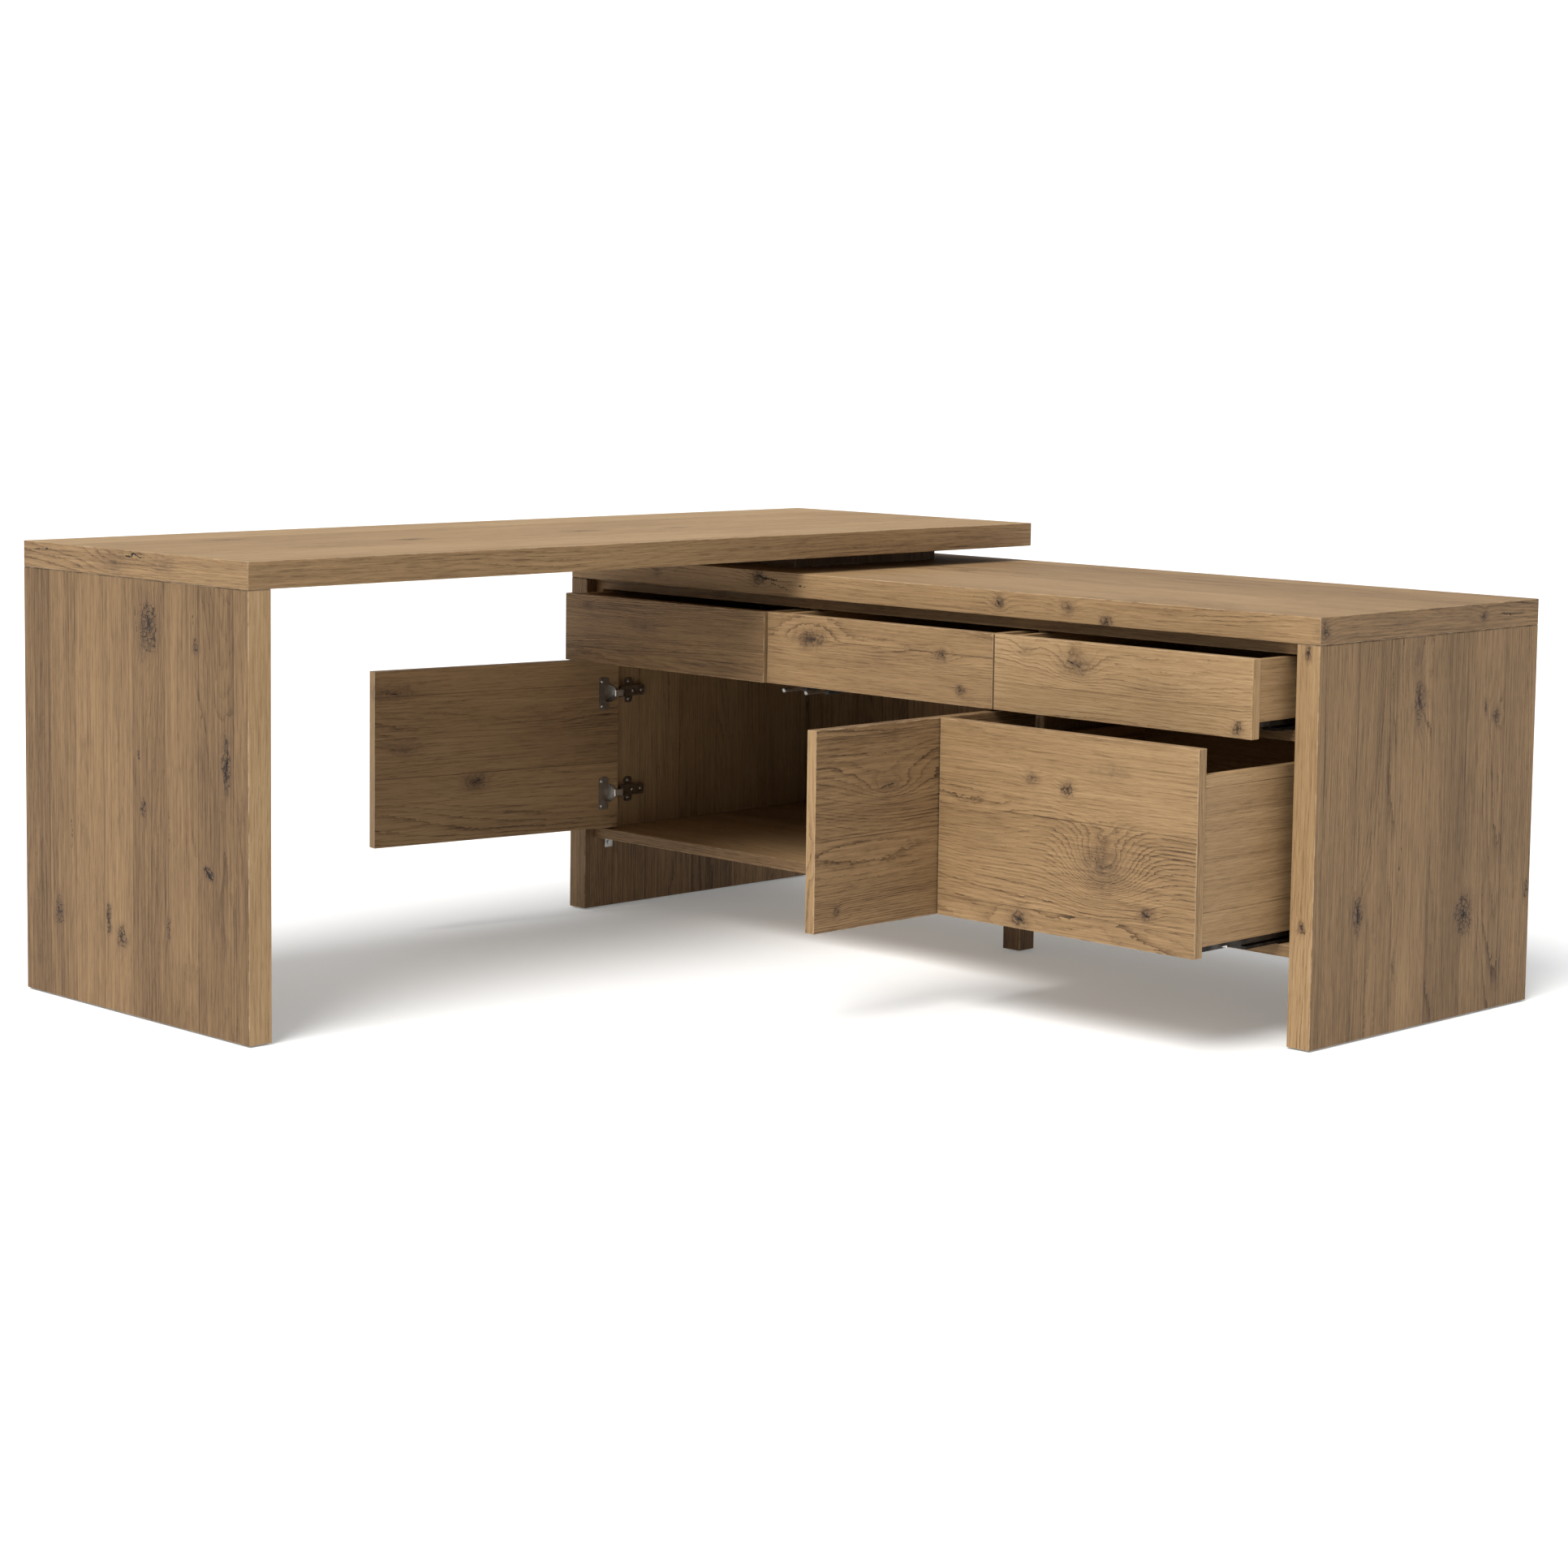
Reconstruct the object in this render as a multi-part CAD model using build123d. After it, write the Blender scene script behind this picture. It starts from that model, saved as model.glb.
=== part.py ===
from build123d import *

import math
import os

# An L-shaped desk in oak: a desk with one waterfall side panel, whose other end rests on a lower
# credenza. The credenza holds three drawers in a row, a two-door cabinet and a deep file drawer.
# Millimetres, +Z up. The origin is at floor level under the middle of the whole footprint:
# X runs along the desk towards the credenza, Y along the credenza towards the desk's back edge.
# The model stands with its drawers pulled out and its doors open.

# Desk
DESK_LENGTH = 1850
DESK_DEPTH = 632
DESK_HEIGHT = 762
SLAB = 44  # thickness of the tops and of the waterfall panels
SLAB_EDGE = 1.5  # rounding of the slabs' edges

# Credenza
CREDENZA_LENGTH = 1760
CREDENZA_DEPTH = 622
CREDENZA_HEIGHT = 690
SETBACK = 25  # the case's front edges and the closed fronts stand this far behind the slab's edge
BACK_RECESS = 14  # the back panel stands this far inside the slab's back edge
BOARD = 20  # deck and top board of the case
SIDE = 18  # sides, partitions, divider and back panel of the case
DECK_TOP = 160
DIVIDER_TOP = 502
BOARD_EDGE = 1  # rounding of the boards' edges

# Fronts
FRONT = 20
FRONT_GAP = 4  # between neighbouring fronts
FRONT_MARGIN = 28  # from a waterfall panel to the nearest front
BUMPER_GAP = 4  # behind the closed fronts
UPPER_FRONTS = (496.5, 624)  # lower and upper edge of the three drawers in a row
LOWER_FRONTS = (164, 492.5)  # lower and upper edge of the doors and of the file drawer

# Drawer boxes
BOX_WALL = 15
BOX_LENGTH = 500
BOX_BOTTOM = 6
BOX_CLEARANCE = 6  # between a box and the partition beside it
OUTER_CLEARANCE = 12  # between a box and the side of the case
SLIDE_HEIGHT = 21
UPPER_BOX_TOP = 622
FILE_BOX_TOP = 450
PULLED_OUT = {"drawer_1": 104, "drawer_2": 99, "drawer_3": 100, "file_drawer": 232}

# Slides: a channel on the case, an I-shaped middle member and a channel under the box
SLIDE_LENGTH = 500
CHANNEL_WIDTH = 30
CHANNEL_HEIGHT = 9
CHANNEL_WALL = 1.5
MEMBER_WIDTH = 26
MEMBER_WEB = 10
MEMBER_FLANGE = 5
SLIDE_INSET = 4  # from a box's outer face to its channel

# Doors and their cup hinges
LEFT_OPENING = 99.2  # degrees from closed
RIGHT_OPENING = 90
LEFT_PIVOT = (8, 12)  # from the door's hinge end, and behind its outer face
RIGHT_PIVOT = (5.75, 7.25)
HINGE_HEIGHTS = (231.5, 425.5)
CUP_RADIUS = 17.5
CUP_DEPTH = 11
CUP_FIT = 0.1
CUP_INSET = 22.5  # from the door's hinge end to the cup's centre
CUP_WALL = 1.2
FLANGE = (23, 45, 63, 1.5)  # nearer and farther edge from the hinge end, height, thickness
ARM_REACH = 18  # from the mounting face to the link's pin
LEFT_PIN_X = 38  # from the closed doors' outer face to the link's pin
RIGHT_PIN_X = 38
LINK_THICK = 3.5
LINK_HALF_HEIGHT = 6
LINK_LIFT = 5  # the link passes this far over the open door's inner face

# Push latches, one for each door, under the divider
LATCH_SPREAD = 28  # either side of the line where the doors meet
LATCH_RADIUS = 7
LATCH_LENGTH = 82
PLUNGER_RADIUS = 3.5
PLUNGER_TIP_RADIUS = 4.2
PLUNGER_OUT = 46.5  # the free plunger's tip stands this far in front of the closed door's inner face
PLUNGER_FIT = 0.5

# Riser between the desk top and the credenza
RISER = (405, 788, 374, 754)  # lowest and highest X, lowest and highest Y

# Feet, glides and fasteners
GLIDE_HEIGHT = 2
GLIDE_RADIUS = 9
GLIDE_NAIL = (2, 16)  # radius and length
FOOT = 40
FOOT_CENTRE = (627, 5)
DOWEL_RADIUS = 5
DOWEL_LENGTH = 60
DOWEL_INSET = 90
BOLT_RADIUS = 4
BOLT_HEAD = (8, 6)
BOLT_INSET = 60
SCREW_RADIUS = 2.5
SCREW_LENGTH = 50
SCREW_HEAD = (4.5, 3)
FASTENER_FIT = 0.1
BRACKET = (20, 22, 2)  # width, leg and thickness
BRACKET_XS = (363, 840)

# Worked-out places
X_LEFT, X_RIGHT = -DESK_LENGTH / 2, DESK_LENGTH / 2
Y_NEAR, Y_FAR = -CREDENZA_LENGTH / 2, CREDENZA_LENGTH / 2
Y_DESK = Y_FAR - DESK_DEPTH
X_SLAB_FRONT = X_RIGHT - CREDENZA_DEPTH
X_FRONT = X_SLAB_FRONT + SETBACK  # outer faces of the closed fronts, and the case's front edges
X_INSIDE = X_FRONT + FRONT  # inner faces of the closed fronts
X_PARTITION = X_INSIDE + BUMPER_GAP
X_BACK = X_RIGHT - BACK_RECESS - SIDE  # inner face of the back panel
Z_SLAB = CREDENZA_HEIGHT - SLAB
Z_DESK_SLAB = DESK_HEIGHT - SLAB
Z_DECK = DECK_TOP - BOARD
Z_TOP_BOARD = Z_SLAB - BOARD
Z_DIVIDER = DIVIDER_TOP - SIDE
Y_PANEL = Y_FAR - SLAB  # inner face of either waterfall panel of the credenza
Y_CASE = Y_PANEL - SIDE  # inner face of either side of the case
FRONT_WIDTH = (2 * (Y_PANEL - FRONT_MARGIN) - 2 * FRONT_GAP) / 3
Y_SEAM = (FRONT_WIDTH + FRONT_GAP) / 2  # the lines between neighbouring fronts are at +- this
BASE = (Align.CENTER, Align.CENTER, Align.MIN)


def block(x, y, z, edge=0):
    """A box between the given pairs of limits, with rounded edges if edge is set."""
    size = [limits[1] - limits[0] for limits in (x, y, z)]
    shape = Pos(x[0], y[0], z[0]) * Box(*size, align=(Align.MIN,) * 3)
    return fillet(shape.edges(), edge) if edge else shape


def upright(radius, x, y, z):
    """A round pin or hole along Z between the limits z."""
    return Pos(x, y, z[0]) * Cylinder(radius, z[1] - z[0], align=BASE)


def along_x(radius, x, y, z):
    """A round pin or hole along X between the limits x."""
    return Pos(x[0], y, z) * Rot(0, 90, 0) * Cylinder(radius, x[1] - x[0], align=BASE)


def cut(shape, holes):
    for hole in holes:
        shape -= hole
    return shape


def save(name, *shapes):
    """Writes one node: a single solid, or a group of separate ones."""
    shape = shapes[0] if len(shapes) == 1 else Compound(children=list(shapes))
    export_step(shape, f"parts/{name}.step")


def glide(x, y):
    nail = upright(GLIDE_NAIL[0], x, y, (0, GLIDE_NAIL[1]))
    return upright(GLIDE_RADIUS, x, y, (0, GLIDE_HEIGHT)) + nail


def nail_hole(x, y):
    return upright(GLIDE_NAIL[0] + FASTENER_FIT, x, y, (0, GLIDE_NAIL[1] + FASTENER_FIT))


def dowel_places():
    """(x, y, joint height) of the dowels between the slabs and the panels under them."""
    desk_ys = (Y_DESK + DOWEL_INSET, (Y_DESK + Y_FAR) / 2, Y_FAR - DOWEL_INSET)
    desk = [(X_LEFT + SLAB / 2, y, Z_DESK_SLAB) for y in desk_ys]
    xs = (X_SLAB_FRONT + DOWEL_INSET, (X_SLAB_FRONT + X_RIGHT) / 2, X_RIGHT - DOWEL_INSET)
    ys = (Y_NEAR + SLAB / 2, Y_FAR - SLAB / 2)
    return desk, [(x, y, Z_SLAB) for x in xs for y in ys]


def dowel(place, fit=0.0):
    x, y, z = place
    half = DOWEL_LENGTH / 2 + fit
    return upright(DOWEL_RADIUS + fit, x, y, (z - half, z + half))


def bolt_places():
    xs = (RISER[0] + BOLT_INSET, RISER[1] - BOLT_INSET)
    ys = (RISER[2] + BOLT_INSET, RISER[3] - BOLT_INSET)
    return [(x, y) for x in xs for y in ys]


def riser_bolt(place, fit=0.0):
    """A bolt from inside the credenza's top, through the riser and into the desk's top."""
    head = upright(BOLT_HEAD[0] + fit, *place, (Z_SLAB, Z_SLAB + BOLT_HEAD[1] + fit))
    return head + upright(BOLT_RADIUS + fit, *place, (Z_SLAB, Z_DESK_SLAB + SLAB / 2 + fit))


def screw_places():
    """Screws up through the deck into the sides and the partition."""
    ys = (-(Y_CASE + SIDE / 2), -Y_SEAM, Y_CASE + SIDE / 2)
    return [(x, y) for x in (X_PARTITION + 60, X_BACK - 60) for y in ys]


def deck_screw(place, fit=0.0):
    head = upright(SCREW_HEAD[0] + fit, *place, (Z_DECK, Z_DECK + SCREW_HEAD[1] + fit))
    return head + upright(SCREW_RADIUS + fit, *place, (Z_DECK, Z_DECK + SCREW_LENGTH + fit))


def make_desk():
    desk_dowels, _ = dowel_places()
    holes = [dowel(p, FASTENER_FIT) for p in desk_dowels]
    bolts = [riser_bolt(p, FASTENER_FIT) for p in bolt_places()]
    top = block((X_LEFT, X_RIGHT), (Y_DESK, Y_FAR), (Z_DESK_SLAB, DESK_HEIGHT), SLAB_EDGE)
    save("desk_top", cut(top, holes + bolts))
    panel = block((X_LEFT, X_LEFT + SLAB), (Y_DESK, Y_FAR), (GLIDE_HEIGHT, Z_DESK_SLAB), SLAB_EDGE)
    nails = [nail_hole(x, y) for x, y in glide_places() if x < X_LEFT + SLAB]
    save("desk_side_panel", cut(panel, holes + nails))
    riser = block(RISER[:2], RISER[2:], (CREDENZA_HEIGHT, Z_DESK_SLAB), BOARD_EDGE)
    save("riser_block", cut(riser, bolts))
    save("riser_bolts", *[riser_bolt(p) for p in bolt_places()])


def glide_places():
    desk = [(X_LEFT + SLAB / 2, y) for y in (Y_DESK + DOWEL_INSET, Y_FAR - DOWEL_INSET)]
    xs = (X_SLAB_FRONT + DOWEL_INSET, X_RIGHT - DOWEL_INSET)
    ys = (Y_NEAR + SLAB / 2, Y_FAR - SLAB / 2)
    return desk + [(x, y) for x in xs for y in ys] + [FOOT_CENTRE]


def make_credenza_shell():
    desk_dowels, dowels = dowel_places()
    holes = [dowel(p, FASTENER_FIT) for p in dowels]
    bolts = [riser_bolt(p, FASTENER_FIT) for p in bolt_places()]
    top = block((X_SLAB_FRONT, X_RIGHT), (Y_NEAR, Y_FAR), (Z_SLAB, CREDENZA_HEIGHT), SLAB_EDGE)
    save("credenza_top", cut(top, holes + bolts))
    for name, low in (("credenza_near_panel", Y_NEAR), ("credenza_far_panel", Y_PANEL)):
        panel = block((X_SLAB_FRONT, X_RIGHT), (low, low + SLAB), (GLIDE_HEIGHT, Z_SLAB), SLAB_EDGE)
        here = [p for p in dowels if low < p[1] < low + SLAB]
        nails = [nail_hole(x, y) for x, y in glide_places() if low < y < low + SLAB]
        save(name, cut(panel, [dowel(p, FASTENER_FIT) for p in here] + nails))
    save("corner_dowels", *[dowel(p) for p in desk_dowels + dowels])
    save("floor_glides", *[glide(x, y) for x, y in glide_places()])


def make_case():
    screws = [deck_screw(p, FASTENER_FIT) for p in screw_places()]
    across = (-Y_PANEL, Y_PANEL)
    save("case_deck", cut(block((X_FRONT, X_BACK), across, (Z_DECK, DECK_TOP), BOARD_EDGE), screws))
    save("case_top_board", block((X_FRONT, X_BACK), across, (Z_TOP_BOARD, Z_SLAB), BOARD_EDGE))
    upper, lower = (DIVIDER_TOP, Z_TOP_BOARD), (DECK_TOP, Z_DIVIDER)
    for name, low in (("case_near_side", -Y_PANEL), ("case_far_side", Y_CASE)):
        side = block((X_FRONT, X_BACK), (low, low + SIDE), (DECK_TOP, Z_TOP_BOARD), BOARD_EDGE)
        here = [deck_screw(p, FASTENER_FIT) for p in screw_places() if low < p[1] < low + SIDE]
        save(name, cut(side, here))
    save("case_back_panel", block((X_BACK, X_BACK + SIDE), across, (Z_DECK, Z_SLAB), BOARD_EDGE))
    inner = (X_PARTITION, X_BACK)
    save("drawer_divider", block(inner, (-Y_CASE, Y_CASE), (Z_DIVIDER, DIVIDER_TOP), BOARD_EDGE))
    at_seam = [(y - SIDE / 2, y + SIDE / 2) for y in (-Y_SEAM, Y_SEAM)]
    save("drawer_partitions", *[block(inner, y, upper, BOARD_EDGE) for y in at_seam])
    here = [deck_screw(p, FASTENER_FIT) for p in screw_places() if p[1] == -Y_SEAM]
    save("cabinet_partition", cut(block(inner, at_seam[0], lower, BOARD_EDGE), here))
    save("deck_screws", *[deck_screw(p) for p in screw_places()])
    x, y = FOOT_CENTRE
    half = FOOT / 2
    foot = block((x - half, x + half), (y - half, y + half), (GLIDE_HEIGHT, Z_DECK), BOARD_EDGE)
    save("centre_foot", foot - nail_hole(x, y))


def bracket(x, side):
    """A steel angle under the deck, screwed to the inner face of a waterfall panel."""
    width, leg, thick = BRACKET
    xs = (x - width / 2, x + width / 2)
    wall = sorted((side * Y_PANEL, side * (Y_PANEL - thick)))
    reach = sorted((side * Y_PANEL, side * (Y_PANEL - leg)))
    shape = block(xs, wall, (Z_DECK - leg, Z_DECK)) + block(xs, reach, (Z_DECK - thick, Z_DECK))
    head = Pos(x, side * (Y_PANEL - thick - 1), Z_DECK - leg * 0.6) * Rot(90, 0, 0) * Cylinder(4, 2)
    return shape + head


def make_brackets():
    save("deck_brackets", *[bracket(x, side) for x in BRACKET_XS for side in (-1, 1)])


def channel(y, z, opens_up):
    """A slide channel along X with its base at z, opening upwards or downwards."""
    half = CHANNEL_WIDTH / 2
    outer = block((0, SLIDE_LENGTH), (y - half, y + half), (z, z + CHANNEL_HEIGHT))
    low = z + CHANNEL_WALL if opens_up else z
    high = z + CHANNEL_HEIGHT if opens_up else z + CHANNEL_HEIGHT - CHANNEL_WALL
    inner = half - CHANNEL_WALL
    return outer - block((0, SLIDE_LENGTH), (y - inner, y + inner), (low, high))


def middle_member(y, z):
    """The I-shaped member between the two channels; its flanges run inside them."""
    half, web = MEMBER_WIDTH / 2, MEMBER_WEB / 2
    clear = (CHANNEL_WIDTH - 2 * CHANNEL_WALL - MEMBER_WIDTH) / 2
    low, high = z + CHANNEL_WALL + clear, z + SLIDE_HEIGHT - CHANNEL_WALL - clear
    shape = block((0, SLIDE_LENGTH), (y - web, y + web), (low, high))
    for base in (low, high - MEMBER_FLANGE):
        shape += block((0, SLIDE_LENGTH), (y - half, y + half), (base, base + MEMBER_FLANGE))
    return shape


def drawer_limits(name):
    """Y limits of a drawer's front and of its box."""
    place = {"drawer_1": 1, "drawer_2": 0, "drawer_3": -1, "file_drawer": -1}[name]
    centre = place * (FRONT_WIDTH + FRONT_GAP)
    front = (centre - FRONT_WIDTH / 2, centre + FRONT_WIDTH / 2)
    inner = Y_SEAM - SIDE / 2 - BOX_CLEARANCE
    if place == 0:
        return front, (-inner, inner)
    box = (Y_SEAM + SIDE / 2 + BOX_CLEARANCE, Y_CASE - OUTER_CLEARANCE)
    return front, tuple(sorted(place * y for y in box))


def make_drawer(name, front_z, floor_z, top_z):
    """A drawer on two slides that stand on the board at floor_z. Returns its case channels."""
    (y0, y1), (b0, b1) = drawer_limits(name)
    out = PULLED_OUT[name]
    x = X_INSIDE - out
    base = floor_z + SLIDE_HEIGHT
    save(name + "_front", block((x - FRONT, x), (y0, y1), front_z, BOARD_EDGE))
    walls = ((b0, b0 + BOX_WALL), (b1 - BOX_WALL, b1))
    sides = [block((x, x + BOX_LENGTH), wall, (base, top_z), BOARD_EDGE) for wall in walls]
    save(name + "_box_sides", *sides)
    between = (b0 + BOX_WALL, b1 - BOX_WALL)
    ends = ((x, x + BOX_WALL), (x + BOX_LENGTH - BOX_WALL, x + BOX_LENGTH))
    save(name + "_box_ends", *[block(end, between, (base, top_z), BOARD_EDGE) for end in ends])
    inside = (x + BOX_WALL, x + BOX_LENGTH - BOX_WALL)
    save(name + "_box_bottom", block(inside, between, (base, base + BOX_BOTTOM)))
    offset = SLIDE_INSET + CHANNEL_WIDTH / 2
    ys = (b0 + offset, b1 - offset)
    drawer_z = base - CHANNEL_HEIGHT
    save(name + "_slide_channels", *[Pos(x, 0, 0) * channel(y, drawer_z, False) for y in ys])
    middle_x = X_PARTITION - out / 2
    save(name + "_slide_middles", *[Pos(middle_x, 0, 0) * middle_member(y, floor_z) for y in ys])
    return [Pos(X_PARTITION, 0, 0) * channel(y, floor_z, True) for y in ys]


def make_drawers():
    channels = []
    for name in ("drawer_1", "drawer_2", "drawer_3"):
        channels += make_drawer(name, UPPER_FRONTS, DIVIDER_TOP, UPPER_BOX_TOP)
    channels += make_drawer("file_drawer", LOWER_FRONTS, DECK_TOP, FILE_BOX_TOP)
    save("case_slide_channels", *channels)


def turned(shape, pivot, degrees):
    """The shape turned about the upright axis through pivot."""
    return Pos(*pivot, 0) * Rot(0, 0, degrees) * Pos(-pivot[0], -pivot[1], 0) * shape


def turned_point(point, pivot, degrees):
    a = math.radians(degrees)
    x, y = point[0] - pivot[0], point[1] - pivot[1]
    return (
        pivot[0] + x * math.cos(a) - y * math.sin(a),
        pivot[1] + x * math.sin(a) + y * math.cos(a),
    )


def hinge_cup(hinge_end, side, z):
    """A cup hinge's cup and flange in the closed door; side is +1 if the hinge end has the higher Y."""
    y = hinge_end - side * CUP_INSET
    near, far, height, thick = FLANGE
    rim = X_INSIDE + thick
    cup = along_x(CUP_RADIUS, (X_INSIDE - CUP_DEPTH, rim), y, z)
    ys = sorted((hinge_end - side * near, hinge_end - side * far))
    plate = block((X_INSIDE, rim), ys, (z - height / 2, z + height / 2))
    plate = fillet(plate.edges().filter_by(Axis.X), 5)
    hollow = along_x(CUP_RADIUS - CUP_WALL, (X_INSIDE - CUP_DEPTH + CUP_WALL, rim), y, z)
    return cup + plate - hollow


def hinge_arm(face, side, pin_x, z):
    """The mounting plate, arm and pin of a hinge, on the board face at Y = face."""
    def ys(near, far):
        return sorted((face - side * near, face - side * far))

    wing = block((pin_x + 22, pin_x + 42), ys(0, 2.5), (z - 24, z + 24))
    wing = fillet(wing.edges().filter_by(Axis.Y), 6)
    arm = block((pin_x + 9, pin_x + 64), ys(2.5, 14), (z - 10, z + 10))
    arm = fillet(arm.edges().filter_by(Axis.Y), 3)
    shape = wing + arm
    for low in (z - 10, z + LINK_HALF_HEIGHT + 1):
        ear = block((pin_x - 5, pin_x + 14), ys(10, ARM_REACH + 4), (low, low + 3))
        shape += ear
    pin = upright(2, pin_x, face - side * ARM_REACH, (z - 10, z + 10))
    return shape + pin


def hinge_link(pin, knee, tip, z):
    """The curved link from the arm's pin round the open door's corner and over its cup."""
    boss = Pos(pin[0], pin[1]) * Circle(4)
    outline = boss
    for a, b in ((pin, knee), (knee, tip)):
        length = math.dist(a, b)
        angle = math.degrees(math.atan2(b[1] - a[1], b[0] - a[0]))
        bar = Pos(a[0], a[1]) * Rot(0, 0, angle) * Pos(length / 2, 0) * Rectangle(length, LINK_THICK)
        outline += bar
        outline += Pos(b[0], b[1]) * Circle(LINK_THICK / 2)
    outline -= Pos(pin[0], pin[1]) * Circle(2 + PLUNGER_FIT)
    half = LINK_HALF_HEIGHT
    return Pos(0, 0, z - half) * extrude(outline, 2 * half)


def make_door(name, hinge_end, side, pivot_offset, opening, face, pin_x):
    """A door with two cup hinges; side is +1 if its hinge end has the higher Y. Returns its arms."""
    inset, behind = pivot_offset
    pivot = (X_FRONT + behind, hinge_end - side * inset)
    ys = sorted((hinge_end, hinge_end - side * FRONT_WIDTH))
    door = block((X_FRONT, X_INSIDE), ys, LOWER_FRONTS, BOARD_EDGE)
    y = hinge_end - side * CUP_INSET
    bottom = X_INSIDE - CUP_DEPTH - CUP_FIT
    for z in HINGE_HEIGHTS:
        door -= along_x(CUP_RADIUS + CUP_FIT, (bottom, X_INSIDE), y, z)
    turn = -side * opening
    save(name, turned(door, pivot, turn))
    cups = [turned(hinge_cup(hinge_end, side, z), pivot, turn) for z in HINGE_HEIGHTS]
    save(name + "_hinge_cups", *cups)
    corner_reach = (X_INSIDE + LINK_LIFT, hinge_end + side * 6)
    tip_reach = (X_INSIDE + LINK_LIFT, hinge_end - side * 10)
    knee = turned_point(corner_reach, pivot, turn)
    tip = turned_point(tip_reach, pivot, turn)
    pin = (pin_x, face - side * ARM_REACH)
    save(name + "_hinge_links", *[hinge_link(pin, knee, tip, z) for z in HINGE_HEIGHTS])
    return [hinge_arm(face, side, pin_x, z) for z in HINGE_HEIGHTS]


def make_doors():
    left_end = Y_PANEL - FRONT_MARGIN
    right_end = -Y_SEAM + FRONT_GAP / 2
    partition_face = -Y_SEAM + SIDE / 2
    pins = (X_FRONT + LEFT_PIN_X - 3, X_FRONT + RIGHT_PIN_X)
    arms = make_door("left_door", left_end, 1, LEFT_PIVOT, LEFT_OPENING, Y_CASE, pins[0])
    arms += make_door("right_door", right_end, -1, RIGHT_PIVOT, RIGHT_OPENING, partition_face, pins[1])
    save("door_hinge_arms", *arms)


def make_latches():
    z = Z_DIVIDER - LATCH_RADIUS - 1.5
    start = X_INSIDE + 8
    housings = []
    for name, y in (("left", Y_SEAM + LATCH_SPREAD), ("right", Y_SEAM - LATCH_SPREAD)):
        body = along_x(LATCH_RADIUS, (start, start + LATCH_LENGTH), y, z)
        foot = block((start + 4, start + LATCH_LENGTH - 4), (y - 6, y + 6), (z, Z_DIVIDER))
        bore = along_x(PLUNGER_RADIUS + PLUNGER_FIT, (start, start + LATCH_LENGTH - 3), y, z)
        housings.append(body + foot - bore)
        tip_x = X_INSIDE + 0.5 - PLUNGER_OUT
        rod = along_x(PLUNGER_RADIUS, (tip_x + 6, start + 14), y, z)
        tip = along_x(PLUNGER_TIP_RADIUS, (tip_x, tip_x + 6), y, z)
        tip = fillet(tip.edges().sort_by(Axis.X)[0], 1.5)
        save(name + "_latch_plunger", rod + tip)
    save("latch_housings", *housings)


os.makedirs("parts", exist_ok=True)
make_desk()
make_credenza_shell()
make_case()
make_brackets()
make_drawers()
make_doors()
make_latches()
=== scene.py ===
import math

import bmesh
import bpy
from mathutils import Matrix, Vector


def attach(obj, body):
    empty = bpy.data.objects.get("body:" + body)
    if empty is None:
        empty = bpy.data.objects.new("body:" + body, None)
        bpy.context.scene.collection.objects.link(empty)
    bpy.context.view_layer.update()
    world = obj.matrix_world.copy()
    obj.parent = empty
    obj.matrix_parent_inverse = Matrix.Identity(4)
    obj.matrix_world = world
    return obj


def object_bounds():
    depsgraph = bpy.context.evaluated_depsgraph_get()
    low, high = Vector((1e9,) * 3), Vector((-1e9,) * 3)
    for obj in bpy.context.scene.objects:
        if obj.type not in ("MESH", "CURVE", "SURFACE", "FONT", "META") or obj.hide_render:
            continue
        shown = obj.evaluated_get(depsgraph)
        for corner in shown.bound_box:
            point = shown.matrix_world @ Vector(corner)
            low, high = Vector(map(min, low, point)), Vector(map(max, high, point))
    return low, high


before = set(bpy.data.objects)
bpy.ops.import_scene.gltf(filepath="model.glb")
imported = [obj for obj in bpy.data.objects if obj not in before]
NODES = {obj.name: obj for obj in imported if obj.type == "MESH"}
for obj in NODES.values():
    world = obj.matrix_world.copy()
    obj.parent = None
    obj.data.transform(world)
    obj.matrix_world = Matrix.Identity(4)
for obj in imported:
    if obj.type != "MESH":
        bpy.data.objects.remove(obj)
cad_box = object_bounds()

# A knotty oak corner desk in a plain pale studio. Everything is in metres, in the frame's axes.


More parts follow.
